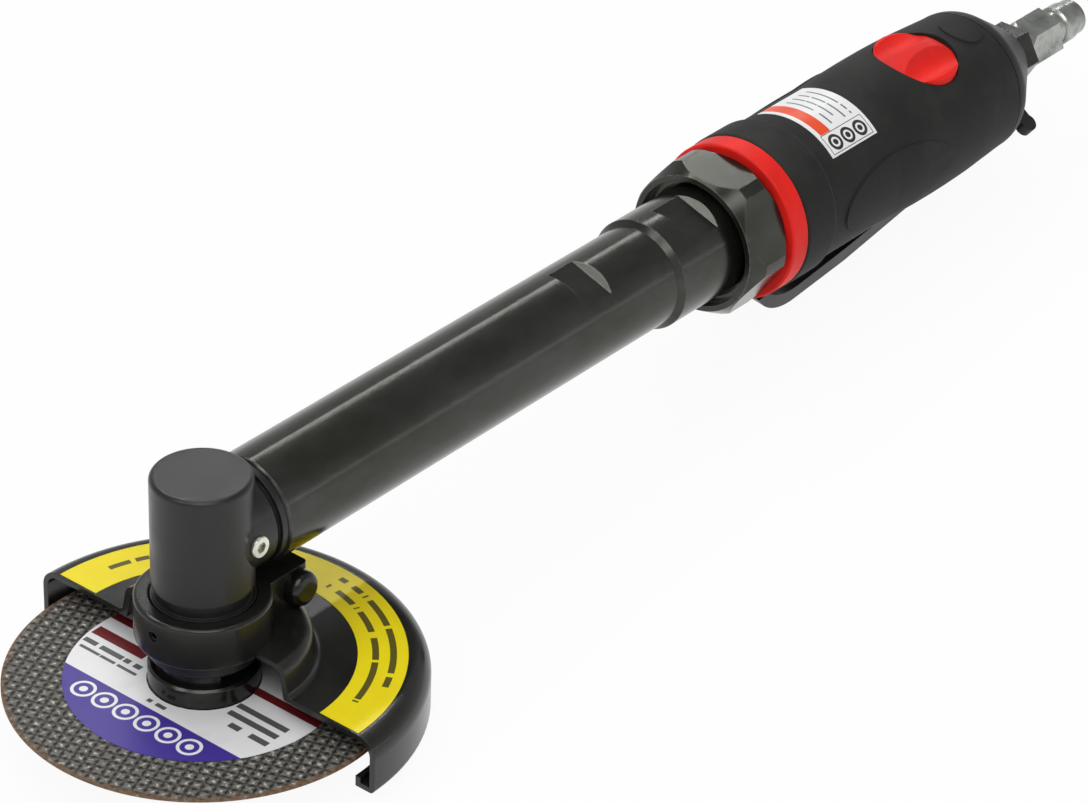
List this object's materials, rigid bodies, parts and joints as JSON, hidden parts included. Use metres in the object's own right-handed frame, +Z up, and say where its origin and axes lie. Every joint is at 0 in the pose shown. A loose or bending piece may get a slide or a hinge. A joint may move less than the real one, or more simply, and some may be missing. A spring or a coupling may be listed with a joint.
{
  "type": "air cut-off tool",
  "caption": "Long-reach air-driven angle cut-off tool: guarded thin cutting wheel on an angle head, an extension tube and a lever-throttle motor handle.",
  "frame": {"origin": "on the spindle axis at the face of the inner flange that the cutting wheel seats on", "axes": "+Z up along the spindle away from the wheel, +X along the tool from the angle head to the air inlet"},
  "size_m": [0.4265, 0.112, 0.0741],
  "materials": {
    "head_black": "semi-gloss black enamel",
    "guard_black": "gloss black enamel",
    "tube_steel": "black-oxide turned steel, lightly oiled",
    "wheel_abrasive": "resin-bonded abrasive with glass mesh",
    "label_white": "white printed film",
    "label_yellow": "yellow printed film",
    "red_plastic": "moulded red plastic",
    "grip_rubber": "matte grey-black moulded rubber",
    "black_plastic": "moulded black plastic",
    "lever_black": "matte black paint on cast alloy",
    "bushing_black": "black oxide",
    "plated_steel": "bright zinc plate",
    "black_screws": "black oxide",
    "flange_steel": "turned steel, dark",
    "bare_steel": "ground steel",
    "motor_iron": "machined cast iron",
    "housing_alloy": "machined aluminium alloy",
    "bush_bronze": "bearing bronze and brass",
    "vane_composite": "phenolic composite",
    "seal_rubber": "black nitrile rubber",
    "felt": "pressed felt"
  },
  "bodies": {
    "tool_body": {"angle_head_housing": "head_black", "bearing_cap": "head_black", "grease_fitting": "plated_steel", "spindle_bearing_outer_race": "bare_steel", "spindle_bearing_balls": "bare_steel", "spindle_upper_bush": "bush_bronze", "pinion_bearing_outer_race": "bare_steel", "pinion_bearing_balls": "bare_steel", "pinion_lock_ring": "bare_steel", "extension_tube": "tube_steel", "shaft_steady_bush": "bush_bronze", "coupling_sleeve": "tube_steel", "clamp_nut": "tube_steel", "red_ring": "red_plastic", "motor_housing": "housing_alloy", "handle_grip": "grip_rubber", "grip_label": "label_white", "motor_retainer": "bare_steel", "motor_front_plate": "motor_iron", "motor_cylinder": "motor_iron", "motor_rear_plate": "motor_iron", "motor_front_bearing_outer_race": "bare_steel", "motor_front_bearing_balls": "bare_steel", "motor_rear_bearing_outer_race": "bare_steel", "motor_rear_bearing_balls": "bare_steel", "exhaust_muffler": "felt", "inlet_bushing": "bushing_black", "inlet_strainer": "bush_bronze", "air_plug": "plated_steel", "lever_pin": "bare_steel", "valve_bushing": "bush_bronze", "valve_spring": "bare_steel"},
    "guard": {"guard_shell": "guard_black", "guard_collar": "guard_black", "guard_clamp_screw": "black_screws", "guard_clamp_nut": "black_screws", "guard_set_screw": "black_screws", "guard_label": "label_yellow"},
    "spindle": {"spindle": "flange_steel", "bevel_gear": "bare_steel", "spindle_bearing_inner_race": "bare_steel", "wheel_flange_inner": "flange_steel", "cutting_wheel": "wheel_abrasive", "wheel_label": "label_white", "wheel_flange_outer": "flange_steel", "wheel_screw": "black_screws"},
    "drive_shaft": {"rotor": "bare_steel", "rotor_vanes": "vane_composite", "drive_shaft": "bare_steel", "shaft_coupling": "bare_steel", "bevel_pinion": "bare_steel", "pinion_bearing_inner_race": "bare_steel", "pinion_journal_nut": "bare_steel", "motor_front_bearing_inner_race": "bare_steel", "motor_rear_bearing_inner_race": "bare_steel"},
    "lever": {"throttle_lever": "lever_black"},
    "valve": {"valve_stem": "bush_bronze"},
    "regulator": {"regulator_knob": "red_plastic", "regulator_seal": "seal_rubber"},
    "deflector": {"exhaust_deflector": "black_plastic"}
  },
  "joints": [
    {"name": "shaft_spin", "type": "hinge", "parent": "tool_body", "child": "drive_shaft", "pos_m": [0, 0, 0.0416], "axis": [1, 0, 0], "continuous": true},
    {"name": "spindle_spin", "type": "hinge", "parent": "tool_body", "child": "spindle", "pos_m": [0, 0, 0], "axis": [0, 0, 1], "continuous": true},
    {"name": "guard_swing", "type": "hinge", "parent": "tool_body", "child": "guard", "pos_m": [0, 0, 0], "axis": [0, 0, 1], "range_deg": [-100, 100]},
    {"name": "lever_press", "type": "hinge", "parent": "tool_body", "child": "lever", "pos_m": [0.306, 0.00349, 0.01957], "axis": [0, 0.9877, 0.1564], "range_deg": [0, 3.5], "stiffness_Nm_per_rad": 2, "springref_deg": -34.38},
    {"name": "valve_slide", "type": "slide", "parent": "tool_body", "child": "valve", "axis": [0, -0.1564, 0.9877], "range_m": [0, 0.0015], "deforming": ["valve_spring"]},
    {"name": "regulator_turn", "type": "hinge", "parent": "tool_body", "child": "regulator", "pos_m": [0.2893, 0, 0.0416], "axis": [0, -0.1564, 0.9877], "range_deg": [0, 180]},
    {"name": "deflector_turn", "type": "hinge", "parent": "tool_body", "child": "deflector", "pos_m": [0, 0, 0.0416], "axis": [1, 0, 0], "range_deg": [-90, 90]}
  ],
  "couplings": [
    {"joint": "spindle_spin", "follows": "shaft_spin", "ratio": 0.75},
    {"joint": "valve_slide", "follows": "lever_press", "m_per_rad": 0.023}
  ]
}
